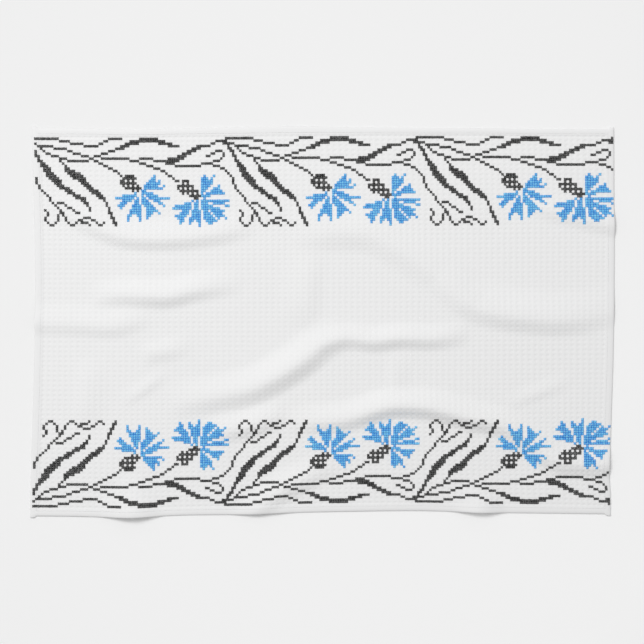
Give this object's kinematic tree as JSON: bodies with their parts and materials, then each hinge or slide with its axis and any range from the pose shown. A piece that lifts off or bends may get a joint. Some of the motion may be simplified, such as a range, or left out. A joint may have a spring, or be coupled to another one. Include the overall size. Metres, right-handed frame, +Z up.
{
  "type": "tea towel",
  "caption": "Waffle-weave tea towel laid out flat in soft folds, with narrow hems and a cross-stitched flower border along each long side.",
  "frame": {"origin": "on the table under the middle of the laid towel's box", "axes": "+X along the towel, +Y across it to the back edge, +Z up out of its right side"},
  "size_m": [0.6146, 0.4115, 0.0119],
  "materials": {
    "cloth": "white waffle-weave cotton, matt and soft",
    "charcoal_thread": "charcoal stranded embroidery thread, faint sheen along the strands",
    "blue_thread": "sky blue stranded embroidery thread, faint sheen along the strands"
  },
  "bodies": {
    "root": {"towel": "cloth"}
  },
  "joints": []
}
